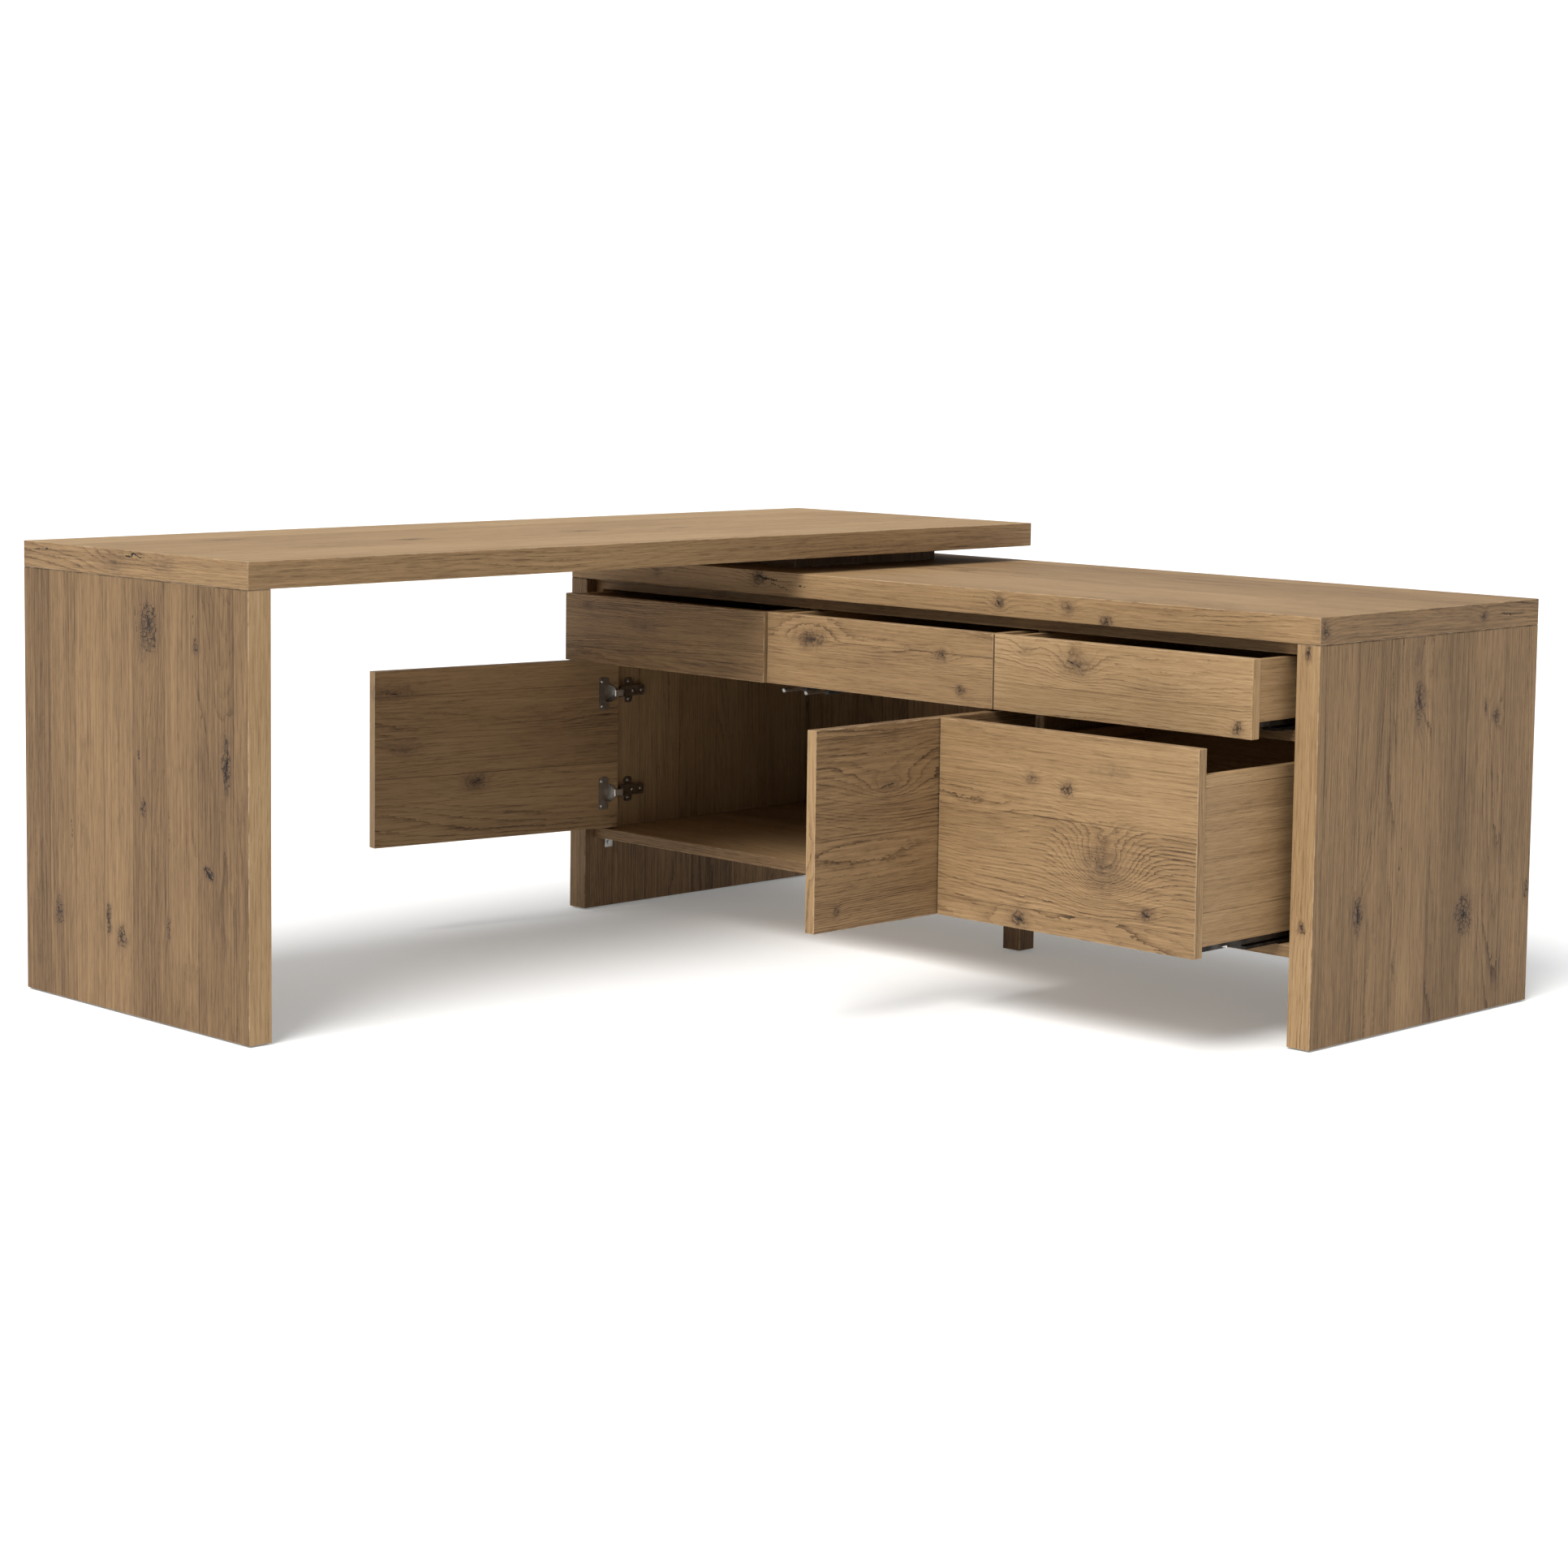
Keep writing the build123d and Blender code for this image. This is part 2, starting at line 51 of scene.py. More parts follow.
# ---------------------------------------------------------------- shader graph helpers
class Graph:
    """Adds shader nodes to a tree. A value is a number, a tuple or another node's output."""

    def __init__(self, tree):
        self.tree = tree

    def fill(self, made, values):
        """Link the inputs whose value is another node's output, and set the rest."""
        for key, value in values.items():
            if isinstance(value, bpy.types.NodeSocket):
                self.tree.links.new(value, made.inputs[key])
            else:
                made.inputs[key].default_value = value
        return made

    def node(self, kind, values=None, **settings):
        made = self.tree.nodes.new(kind)
        for key, value in settings.items():
            setattr(made, key, value)
        return self.fill(made, values or {})

    def group(self, tree, values):
        return self.node("ShaderNodeGroup", values, node_tree=tree).outputs

    def math(self, operation, a, b=0.0, c=0.0):
        return self.node("ShaderNodeMath", {0: a, 1: b, 2: c}, operation=operation).outputs[0]

    def vector(self, operation, a, b=(0, 0, 0)):
        made = self.node("ShaderNodeVectorMath", {0: a, 1: b}, operation=operation)
        return made.outputs["Value" if operation in ("DOT_PRODUCT", "LENGTH") else "Vector"]

    def scaled(self, a, factor):
        made = self.node("ShaderNodeVectorMath", {0: a, "Scale": factor}, operation="SCALE")
        return made.outputs["Vector"]

    def combine(self, x, y, z):
        return self.node("ShaderNodeCombineXYZ", {0: x, 1: y, 2: z}).outputs[0]

    def noise(self, vector, detail=2.0, roughness=0.5, scale=1.0, output="Fac"):
        values = {"Vector": vector, "Scale": scale, "Detail": detail, "Roughness": roughness}
        return self.node("ShaderNodeTexNoise", values).outputs[output]

    def steps(self, value, low, high, to_low=0.0, to_high=1.0):
        """A smooth step from to_low at low to to_high at high."""
        values = {0: value, 1: low, 2: high, 3: to_low, 4: to_high}
        made = self.node("ShaderNodeMapRange", values, interpolation_type="SMOOTHSTEP")
        return made.outputs[0]

    def linear(self, value, low, high, to_low=0.0, to_high=1.0):
        values = {0: value, 1: low, 2: high, 3: to_low, 4: to_high}
        return self.node("ShaderNodeMapRange", values).outputs[0]

    def mix(self, factor, a, b):
        made = self.node("ShaderNodeMix", {0: factor, 6: a, 7: b}, data_type="RGBA")
        return made.outputs[2]

    def mix_vectors(self, factor, a, b):
        made = self.node("ShaderNodeMix", {0: factor, 4: a, 5: b}, data_type="VECTOR")
        return made.outputs[1]

    def ramp(self, value, stops):
        made = self.node("ShaderNodeValToRGB", {0: value})
        elements = made.color_ramp.elements
        while len(elements) < len(stops):
            elements.new(0.5)
        for element, (place, colour) in zip(elements, stops):
            element.position = place
            element.color = (*colour, 1)
        return made.outputs[0]


def new_group(name, inputs, outputs):
    tree = bpy.data.node_groups.new(name, "ShaderNodeTree")
    kinds = {"f": "NodeSocketFloat", "v": "NodeSocketVector", "c": "NodeSocketColor"}
    for direction, sockets in (("INPUT", inputs), ("OUTPUT", outputs)):
        for socket, kind in sockets.items():
            tree.interface.new_socket(name=socket, in_out=direction, socket_type=kinds[kind])
    graph = Graph(tree)
    start = tree.nodes.new("NodeGroupInput").outputs
    return graph, start, tree.nodes.new("NodeGroupOutput").inputs


# ---------------------------------------------------------------- oak
def make_knot_group():
    """One knot: the growth rings flow round it, and it is dark at its rim and its heart."""
    inputs = {"Point": "v", "Centre": "v", "Size": "v", "Strength": "f", "Darkness": "f"}
    sums = {"Lift": "f", "Core": "f", "Halo": "f"}
    g, start, end = new_group("knot", {**inputs, **sums}, sums)
    offset = g.vector("SUBTRACT", start["Point"], start["Centre"])
    r = g.vector("LENGTH", g.vector("DIVIDE", offset, start["Size"]))
    swell = g.math("EXPONENT", g.math("MULTIPLY", g.math("MULTIPLY", r, r), -0.20))
    lift = g.math("MULTIPLY_ADD", swell, start["Strength"], start["Lift"])
    uneven = g.noise(start["Point"], 3.0, 0.6, 95.0)
    ragged = g.math("MULTIPLY_ADD", g.math("SUBTRACT", uneven, 0.5), 1.5, r)
    heart = g.steps(ragged, 0.70, 0.15)
    rim = g.math("MULTIPLY", g.steps(ragged, 0.70, 0.90), g.steps(ragged, 1.10, 0.92))
    dark = g.math("MAXIMUM", heart, g.math("MULTIPLY", rim, 0.45))
    dark = g.math("MULTIPLY", dark, start["Darkness"])
    halo = g.math("MULTIPLY", g.steps(ragged, 2.2, 0.6), start["Darkness"])
    for name, value in (("Core", dark), ("Halo", halo)):
        g.tree.links.new(g.math("MAXIMUM", start[name], value), end[name])
    g.tree.links.new(lift, end["Lift"])
    return g.tree


def make_crack_group():
    """One crack along a line from A to B, widest in its middle."""
    inputs = {"Point": "v", "A": "v", "B": "v", "Width": "f", "Crack": "f"}
    g, start, end = new_group("crack", inputs, {"Crack": "f"})
    along = g.vector("SUBTRACT", start["B"], start["A"])
    from_a = g.vector("SUBTRACT", start["Point"], start["A"])
    share = g.math("DIVIDE", g.vector("DOT_PRODUCT", from_a, along),
                   g.vector("DOT_PRODUCT", along, along))
    share = g.node("ShaderNodeClamp", {0: share}).outputs[0]
    away = g.vector("LENGTH", g.vector("SUBTRACT", from_a, g.scaled(along, share)))
    taper = g.math("MULTIPLY", g.math("MULTIPLY", share, g.math("SUBTRACT", 1.0, share)), 4.0)
    width = g.math("MULTIPLY", start["Width"], g.math("ADD", taper, 0.15))
    inside = g.linear(g.math("DIVIDE", away, width), 1.0, 0.45)
    g.tree.links.new(g.math("MAXIMUM", inside, start["Crack"]), end["Crack"])
    return g.tree


OAK_TONES = [
    (0.00, (0.040, 0.021, 0.010)),
    (0.28, (0.126, 0.072, 0.032)),
    (0.52, (0.243, 0.148, 0.069)),
    (0.74, (0.352, 0.225, 0.110)),
    (1.00, (0.480, 0.333, 0.182)),
]
KNOT_BROWN = (0.115, 0.064, 0.033, 1)
KNOT_HEART = (0.028, 0.018, 0.013, 1)
CRACK_BLACK = (0.010, 0.007, 0.006, 1)
# the pale colour of the painted highlight along the boards' edges
EDGE_HIGHLIGHT_PALE = (0.56, 0.41, 0.26, 1)
RINGS_PER_METRE = 130.0
RING_SWELL = 44.0       # how far the slow swell carries a ring, in rings
RING_WIGGLE = 1.2
RING_JAGGED = 0.45
RING_THINNESS = 4.2     # a higher power leaves a thinner dark line at the end of each ring
PLANK_TONE = 0.15       # how much lighter the palest plank is than the darkest
FACES_ALONG = 0.7       # a face whose normal has this much of an axis faces along it
END_GRAIN_AWAY = 4.3    # keeps the end grain's figure apart from the long faces' figure
LIGHTER = {"mottle": 0.26, "fibre": 0.62, "streak": 0.14}
DARKER = {"ring": 0.37, "pore": 0.23, "seam": 0.32}


def make_oak_group():
    """Oak veneer in planks. Vector is along the grain, across it and through the thickness."""
    inputs = {"Vector": "v", "Point": "v", "Seed": "f", "Plank": "f", "Bold": "f", "Wild": "f"}
    inputs |= {"Lift": "f", "Core": "f", "Halo": "f", "Crack": "f", "Tone": "f", "Edge": "f"}
    g, start, end = new_group("oak", inputs, {"Colour": "c", "Roughness": "f", "Height": "f"})
    split = g.node("ShaderNodeSeparateXYZ", {0: start["Vector"]}).outputs
    along, across, through = split[0], split[1], split[2]
    seed = start["Seed"]

    # Planks of uneven width, each with its own figure and tone
    place = g.math("MULTIPLY_ADD", seed, 3.17, g.math("DIVIDE", across, start["Plank"]))
    plank_values = {"W": place, "Scale": 1.0, "Randomness": 0.5}
    plank = g.node("ShaderNodeTexVoronoi", plank_values, voronoi_dimensions="1D")
    edge_distance = g.node("ShaderNodeTexVoronoi", plank_values, voronoi_dimensions="1D",
                           feature="DISTANCE_TO_EDGE").outputs["Distance"]
    own = g.vector("MULTIPLY", plank.outputs["Color"], (5.0, 2.0, 2.0))
    own = g.vector("ADD", own, g.combine(seed, g.math("MULTIPLY", seed, 0.7), seed))
    spot = g.vector("ADD", start["Vector"], own)
    plank_tone = g.node("ShaderNodeSeparateColor", {0: plank.outputs["Color"]}).outputs[1]
    seam = g.steps(g.math("MULTIPLY", edge_distance, start["Plank"]), 0.0012, 0.0002)
    broken = g.noise(g.vector("MULTIPLY", spot, (9.0, 20.0, 20.0)), 2.0)
    seam = g.math("MULTIPLY", seam, g.linear(broken, 0.35, 0.62, 0.25, 1.0))

    # A few knots of the board's own, away from the ones that are placed
    cell = g.vector("MULTIPLY", spot, (2.6, 7.0, 7.0))
    wild = g.node("ShaderNodeTexVoronoi", {"Vector": cell, "Scale": 1.0})
    reach = g.node("ShaderNodeSeparateColor", {0: wild.outputs["Color"]}).outputs[0]
    reach = g.math("MULTIPLY", g.linear(reach, 0.45, 1.0, 0.0, 0.13), start["Wild"])
    reach = g.math("ADD", reach, 0.0001)
    r = g.math("DIVIDE", wild.outputs["Distance"], reach)
    swell = g.math("EXPONENT", g.math("MULTIPLY", g.math("MULTIPLY", r, r), -0.25))
    wild_lift = g.math("MULTIPLY", g.math("MULTIPLY", swell, start["Wild"]), 3.5)
    core = g.math("MAXIMUM", start["Core"], g.steps(r, 0.75, 0.25))
    halo = g.math("MAXIMUM", start["Halo"], g.steps(r, 2.1, 0.8))

    # Growth rings as the contour lines of a slow, stretched swell, bent round the knots
    slow = g.noise(g.vector("MULTIPLY", spot, (0.62, 5.2, 5.2)), 1.2, 0.45)
    wiggle = g.noise(g.vector("MULTIPLY", spot, (9.0, 60.0, 60.0)), 3.0, 0.65)
    jagged = g.noise(g.vector("MULTIPLY", spot, (95.0, 260.0, 260.0)), 1.0)
    phase = g.math("MULTIPLY", g.math("ADD", across, through), RINGS_PER_METRE)
    phase = g.math("MULTIPLY_ADD", slow, RING_SWELL, phase)
    phase = g.math("MULTIPLY_ADD", wiggle, RING_WIGGLE, phase)
    phase = g.math("MULTIPLY_ADD", jagged, RING_JAGGED, phase)
    phase = g.math("ADD", phase, g.math("ADD", start["Lift"], wild_lift))
    ring = g.math("POWER", g.math("FRACT", phase), RING_THINNESS)
    whole = g.math("FLOOR", phase)
    which = g.node("ShaderNodeTexWhiteNoise", {"W": whole}, noise_dimensions="1D").outputs[0]
    patch = g.noise(g.vector("MULTIPLY", spot, (2.2, 6.0, 6.0)), 1.0)
    ring = g.math("MULTIPLY", ring, g.linear(which, 0.0, 1.0, 0.25, 1.0))
    ring = g.math("MULTIPLY", ring, g.linear(patch, 0.36, 0.62, 0.22, 1.0))
    ring = g.math("MULTIPLY", ring, start["Bold"])

    # Fibres, pores and slow changes of tone
    fibre = g.noise(g.vector("MULTIPLY", spot, (4.5, 300.0, 300.0)), 4.0, 0.66)
    tick = g.noise(g.vector("MULTIPLY", spot, (17.0, 330.0, 330.0)), 2.5, 0.65)
    fine = g.noise(g.vector("MULTIPLY", spot, (34.0, 900.0, 900.0)), 1.5)
    pore = g.math("MAXIMUM", g.steps(tick, 0.50, 0.68), g.steps(fine, 0.54, 0.70))
    pore = g.math("MULTIPLY", pore, g.linear(ring, 0.0, 0.5, 0.60, 1.0))
    mottle = g.noise(g.vector("MULTIPLY", spot, (2.6, 9.0, 9.0)), 3.0, 0.55)
    streak = g.noise(g.vector("MULTIPLY", spot, (1.1, 34.0, 34.0)), 2.0, 0.5)

    tone = g.math("ADD", start["Tone"], 0.025)
    tone = g.math("MULTIPLY_ADD", plank_tone, PLANK_TONE, tone)
    for name, value in (("mottle", mottle), ("fibre", fibre), ("streak", streak)):
        centred = g.math("SUBTRACT", value, 0.5)
        tone = g.math("MULTIPLY_ADD", centred, LIGHTER[name], tone)
    for name, value in (("ring", ring), ("pore", pore), ("seam", seam)):
        tone = g.math("MULTIPLY_ADD", value, -DARKER[name], tone)
    colour = g.ramp(tone, OAK_TONES)

    # Knots, their splits and the board's cracks
    web_values = {"Vector": start["Point"], "Scale": 105.0}
    web = g.node("ShaderNodeTexVoronoi", web_values, feature="DISTANCE_TO_EDGE")
    splits = g.steps(web.outputs["Distance"], 0.10, 0.02)
    splits = g.math("MULTIPLY", splits, g.steps(halo, 0.55, 0.95))
    colour = g.mix(g.math("MULTIPLY", halo, 0.55), colour, KNOT_BROWN)
    colour = g.mix(g.math("MULTIPLY", core, 0.72), colour, KNOT_HEART)
    crack = g.math("MAXIMUM", start["Crack"], g.math("MULTIPLY", splits, 0.75))
    colour = g.mix(crack, colour, CRACK_BLACK)

    # Edges: a painted highlight, pale in places along them
    edge_highlight = g.noise(g.scaled(start["Vector"], 34.0), 3.0, 0.6)
    edge_highlight = g.math("MULTIPLY", g.steps(edge_highlight, 0.40, 0.62), g.steps(start["Edge"], 0.25, 0.9))
    colour = g.mix(g.math("MULTIPLY", edge_highlight, 0.45), colour, EDGE_HIGHLIGHT_PALE)
    g.tree.links.new(colour, end["Colour"])

    rough = g.math("MULTIPLY_ADD", ring, 0.10, 0.54)
    rough = g.math("MULTIPLY_ADD", fibre, 0.12, rough)
    rough = g.math("MULTIPLY_ADD", edge_highlight, -0.10, rough)
    g.tree.links.new(g.math("MULTIPLY_ADD", crack, 0.2, rough), end["Roughness"])
    height = g.math("MULTIPLY", ring, -0.35)
    for value, weight in ((pore, -0.45), (fibre, 0.30), (seam, -0.7), (crack, -2.2), (core, -0.5)):
        height = g.math("MULTIPLY_ADD", value, weight, height)
    g.tree.links.new(height, end["Height"])
    return g.tree


KNOT = make_knot_group()
CRACK = make_crack_group()
OAK = make_oak_group()


def near_edge(g, point, low, high):
    """1 at the edges of the box between low and high, 0 from 2.5 mm away."""
    middle, half = (low + high) / 2, (high - low) / 2
    away = g.vector("ABSOLUTE", g.vector("SUBTRACT", point, tuple(middle)))
    depth = g.vector("SUBTRACT", tuple(half), away)
    x, y, z = g.node("ShaderNodeSeparateXYZ", {0: depth}).outputs
    second = g.math("MAXIMUM", g.math("MINIMUM", x, y),
                    g.math("MINIMUM", g.math("MAXIMUM", x, y), z))
    return g.linear(second, 0.0, 0.0025, 1.0, 0.0)


def board_coordinates(g, turn):
    """Point and normal in the frame's axes, turned back where the board stands turned."""
    coordinates = g.node("ShaderNodeTexCoord").outputs
    point, normal = coordinates["Object"], coordinates["Normal"]
    if turn:
        x, y, degrees = turn
        values = {"Angle": math.radians(degrees)}
        centred = {**values, "Vector": point, "Center": (x, y, 0)}
        point = g.node("ShaderNodeVectorRotate", centred, rotation_type="Z_AXIS").outputs[0]
        flat = {**values, "Vector": normal, "Center": (0, 0, 0)}
        normal = g.node("ShaderNodeVectorRotate", flat, rotation_type="Z_AXIS").outputs[0]
    return point, normal


def shaken_point(g, point):
    """The point moved a few millimetres by noise, so that knots and cracks aren't regular."""
    shaken = point
    for scale, roughness, reach in ((42.0, 0.5, 0.014), (210.0, 0.6, 0.005)):
        sway = g.noise(point, 2.0, roughness, scale, "Color")
        sway = g.scaled(g.vector("SUBTRACT", sway, (0.5, 0.5, 0.5)), reach)
        shaken = g.vector("ADD", shaken, sway)
    return shaken


def oak(name, grain, across, seed, box=None, knots=(), cracks=(), turn=None, plank=0.14,
        bold=1.0, tone=0.62, wild=0.0, end_tone=None, edge_tone=None, strip=None, joint=None):
    """Oak with its grain along one axis. Its end faces take their grain along the across axis.

    turn is (x, y, degrees): the board's figure is laid out after turning it about that point.
    Knots are (centre, size, strength, darkness), cracks (start, end, half width).
    strip is (height, change of tone above it); joint is the height of a dark joint line.
    """
    material = bpy.data.materials.new(name)
    material.use_nodes = True
    tree = material.node_tree
    g = Graph(tree)
    point, normal = board_coordinates(g, turn)
    xyz = dict(zip("xyz", g.node("ShaderNodeSeparateXYZ", {0: point}).outputs))
    facing = dict(zip("xyz", g.node("ShaderNodeSeparateXYZ", {0: normal}).outputs))
    through = ({"x", "y", "z"} - {grain, across}).pop()
    at_end = g.math("GREATER_THAN", g.math("ABSOLUTE", facing[grain]), FACES_ALONG)
    long_face = g.combine(xyz[grain], xyz[across], xyz[through])
    apart = g.math("ADD", xyz[through], END_GRAIN_AWAY)
    end_face = g.combine(xyz[across], apart, xyz[grain])
    shaken = shaken_point(g, point)

    sums = {"Lift": 0.0, "Core": 0.0, "Halo": 0.0}
    for centre, size, strength, darkness in knots:
        made = g.group(KNOT, {"Point": shaken, "Centre": centre, "Size": size,
                              "Strength": strength, "Darkness": darkness, **sums})
        sums = {key: made[key] for key in sums}
    crack = 0.0
    for start, finish, width in cracks:
        values = {"Point": shaken, "A": start, "B": finish, "Width": width, "Crack": crack}
        crack = g.group(CRACK, values)["Crack"]

    board_tone = tone
    if end_tone is not None:
        board_tone = g.linear(at_end, 0.0, 1.0, tone, end_tone)
    if edge_tone is not None:
        on_edge = g.math("GREATER_THAN", g.math("ABSOLUTE", facing[across]), FACES_ALONG)
        board_tone = g.math("MULTIPLY_ADD", on_edge, edge_tone - tone, board_tone)
    if strip:
        above = g.math("GREATER_THAN", xyz["z"], strip[0])
        line = g.math("ABSOLUTE", g.math("SUBTRACT", xyz["z"], strip[0]))
        line = g.steps(line, 0.0013, 0.0003)
        board_tone = g.math("MULTIPLY_ADD", above, strip[1], tone)
        board_tone = g.math("MULTIPLY_ADD", line, -0.25, board_tone)
    if joint:
        line = g.steps(g.math("SUBTRACT", joint, xyz["z"]), 0.0026, 0.0004)
        crack = g.math("MAXIMUM", crack, g.math("MULTIPLY", line, 0.75))

    made = g.group(OAK, {
        "Vector": g.mix_vectors(at_end, long_face, end_face),
        "Point": shaken, "Seed": seed, "Plank": plank, "Bold": bold, "Wild": wild,
        "Crack": crack, "Tone": board_tone,
        "Edge": near_edge(g, point, *box) if box else 0.0, **sums,
    })
    bump = g.node("ShaderNodeBump", {"Strength": 0.55, "Distance": 0.0006,
                                     "Height": made["Height"]})
    shader = tree.nodes["Principled BSDF"]
    g.fill(shader, {"Base Color": made["Colour"], "Roughness": made["Roughness"],
                    "Normal": bump.outputs[0], "Specular IOR Level": 0.30})
    return material


# ---------------------------------------------------------------- metal and plastic
def plain_material(name):
    """A new material, its graph, its shader and the point in the frame's axes."""
    material = bpy.data.materials.new(name)
    material.use_nodes = True
    g = Graph(material.node_tree)
    point = g.node("ShaderNodeTexCoord").outputs["Object"]
    return material, g, material.node_tree.nodes["Principled BSDF"], point


def metal(name, dark, light, roughness, brushed="x", fine=900.0):
    """Plated or bare metal: drawn along one axis, a little stained, with fine scratches."""
    material, g, shader, point = plain_material(name)
    stretch = tuple(30.0 if axis == brushed else fine for axis in "xyz")
    drawn = g.noise(g.vector("MULTIPLY", point, stretch), 3.0, 0.6)
    stain = g.noise(point, 4.0, 0.6, 38.0)
    shade = g.math("MULTIPLY_ADD", drawn, 0.35, g.math("MULTIPLY", stain, 0.65))
    bump = g.node("ShaderNodeBump", {"Strength": 0.25, "Distance": 0.0001, "Height": drawn})
    g.fill(shader, {
        "Base Color": g.mix(g.steps(shade, 0.35, 0.62), (*dark, 1), (*light, 1)),
        "Roughness": g.linear(shade, 0.3, 0.7, roughness + 0.14, roughness - 0.05),
        "Normal": bump.outputs[0],
        "Metallic": 1.0,
    })
    return material


def moulded(name, dark, light, roughness):
    """Moulded plastic with a fine grain."""
    material, g, shader, point = plain_material(name)
    grain = g.noise(point, 3.0, 0.6, 1400.0)
    cloud = g.noise(point, 3.0, 0.5, 60.0)
    bump = g.node("ShaderNodeBump", {"Strength": 0.3, "Distance": 0.0001, "Height": grain})
    g.fill(shader, {
        "Base Color": g.mix(cloud, (*dark, 1), (*light, 1)),
        "Roughness": g.linear(grain, 0.3, 0.7, roughness - 0.06, roughness + 0.08),
        "Normal": bump.outputs[0],
    })
    return material


def paint(material, *names):
    for name in names:
        data = NODES[name].data
        data.materials.clear()
        data.materials.append(material)


# ---------------------------------------------------------------- where the oak boards' knots are
def flat_knot(face, centre, size, strength=2.0, darkness=1.0):
    """A knot on the face across the given axis; it goes 12 mm deep."""
    lengths = list(size)
    lengths.insert("xyz".index(face), 0.012)
    return centre, tuple(lengths), strength, darkness


def extent(name, turn=None):
    """The board's box, laid out as its figure is."""
    points = [v.co.copy() for v in NODES[name].data.vertices]
    if turn:
        x, y, degrees = turn
        spin = Matrix.Translation((x, y, 0)) @ Matrix.Rotation(math.radians(degrees), 4, "Z")
        spin = spin @ Matrix.Translation((-x, -y, 0))
        points = [spin @ p for p in points]
    low = Vector([min(p[i] for p in points) for i in range(3)])
    return low, Vector([max(p[i] for p in points) for i in range(3)])


def on_face(name, axis, side, places, turn=None):
    """Knots from rows of (two coordinates on the face, two sizes, strength, darkness)."""
    box = extent(name, turn)
    index = "xyz".index(axis)
    made = []
    for a, b, size_a, size_b, strength, darkness in places:
        centre = [a, b]
        centre.insert(index, box[side][index])
        made.append(flat_knot(axis, tuple(centre), (size_a, size_b), strength, darkness))
    return made


def lines_on_face(name, axis, side, places, turn=None):
    """Cracks from rows of (start a, start b, end a, end b, half width)."""
    box = extent(name, turn)
    index = "xyz".index(axis)
    made = []
    for a0, b0, a1, b1, width in places:
        start, finish = [a0, b0], [a1, b1]
        start.insert(index, box[side][index])
        finish.insert(index, box[side][index])
        made.append((tuple(start), tuple(finish), width))
    return made


DRAWERS = ("drawer_1", "drawer_2", "drawer_3", "file_drawer")
# Each door's swing axis, and the turn that closes it from where it stands
LEFT_TURN = (0.340, 0.800, 99.2)
RIGHT_TURN = (0.33525, -0.26225, -90.0)

# Knots: two coordinates on the face, two sizes, strength and darkness.
# Cracks: start and end on the face, and half width.

SIDE_PANEL_KNOTS = [
    (0.517, 0.645, 0.020, 0.034, 3.2, 1.0), (0.532, 0.615, 0.010, 0.024, 1.0, 0.7),
    (0.534, 0.348, 0.007, 0.013, 1.2, 1.0), (0.546, 0.431, 0.003, 0.008, 0.6, 1.0),
    (0.779, 0.147, 0.011, 0.020, 1.8, 0.9), (0.634, 0.153, 0.006, 0.024, 1.2, 1.0),
    (0.596, 0.127, 0.012, 0.016, 1.8, 0.95), (0.463, 0.160, 0.005, 0.016, 0.9, 0.9),
    (0.353, 0.262, 0.012, 0.009, 1.4, 1.0), (0.308, 0.435, 0.009, 0.040, 1.8, 0.95),
    (0.388, 0.620, 0.006, 0.012, 1.2, 0.95),
]
SIDE_PANEL_CRACKS = [
    (0.372, 0.272, 0.334, 0.250, 0.0022), (0.555, 0.680, 0.549, 0.625, 0.0014),
    (0.304, 0.470, 0.309, 0.405, 0.0022), (0.523, 0.665, 0.512, 0.628, 0.0028),
    (0.462, 0.360, 0.460, 0.290, 0.0010), (0.744, 0.330, 0.740, 0.240, 0.0009),
    (0.636, 0.170, 0.633, 0.130, 0.0020), (0.397, 0.690, 0.392, 0.625, 0.0009),
]
DESK_END_CRACKS = [(0.850, 0.752, 0.780, 0.750, 0.0016), (0.600, 0.755, 0.520, 0.753, 0.0018)]
DESK_END_KNOTS = [
    (0.617, 0.741, 0.030, 0.012, 1.6, 0.45), (0.476, 0.745, 0.026, 0.010, 1.2, 0.45),
]
NEAR_PANEL_KNOTS = [
    (0.580, 0.538, 0.013, 0.032, 3.6, 0.85), (0.574, 0.612, 0.020, 0.034, 2.6, 0.45),
    (0.425, 0.205, 0.012, 0.032, 2.4, 0.9), (0.726, 0.172, 0.022, 0.030, 2.8, 0.95),
    (0.805, 0.499, 0.009, 0.013, 1.6, 0.9), (0.774, 0.515, 0.005, 0.014, 1.0, 0.8),
    (0.914, 0.196, 0.006, 0.012, 0.8, 0.9), (0.527, 0.106, 0.004, 0.022, 1.0, 0.7),
]
NEAR_PANEL_CRACKS = [
    (0.580, 0.562, 0.578, 0.512, 0.0024), (0.728, 0.190, 0.722, 0.150, 0.0022),
    (0.738, 0.172, 0.712, 0.168, 0.0016), (0.540, 0.330, 0.536, 0.235, 0.0011),
    (0.425, 0.225, 0.424, 0.186, 0.0020), (0.504, 0.600, 0.500, 0.560, 0.0008),
]
NEAR_EDGE_KNOTS = [
    (-0.859, 0.632, 0.006, 0.009, 1.0, 0.9), (-0.858, 0.196, 0.006, 0.008, 1.0, 1.0),
]
TOP_FRONT_KNOTS = [
    (0.368, 0.676, 0.016, 0.011, 1.8, 0.9), (-0.215, 0.671, 0.010, 0.010, 1.6, 0.85),
    (-0.368, 0.672, 0.013, 0.010, 1.8, 0.75), (-0.450, 0.654, 0.012, 0.009, 1.2, 0.85),
    (0.640, 0.672, 0.010, 0.008, 1.0, 0.5),
]
TOP_FRONT_CRACKS = [
    (0.400, 0.682, 0.300, 0.672, 0.0022), (0.300, 0.672, 0.235, 0.664, 0.0014),
    (0.350, 0.672, 0.285, 0.656, 0.0012), (-0.205, 0.676, -0.222, 0.664, 0.0014),
]
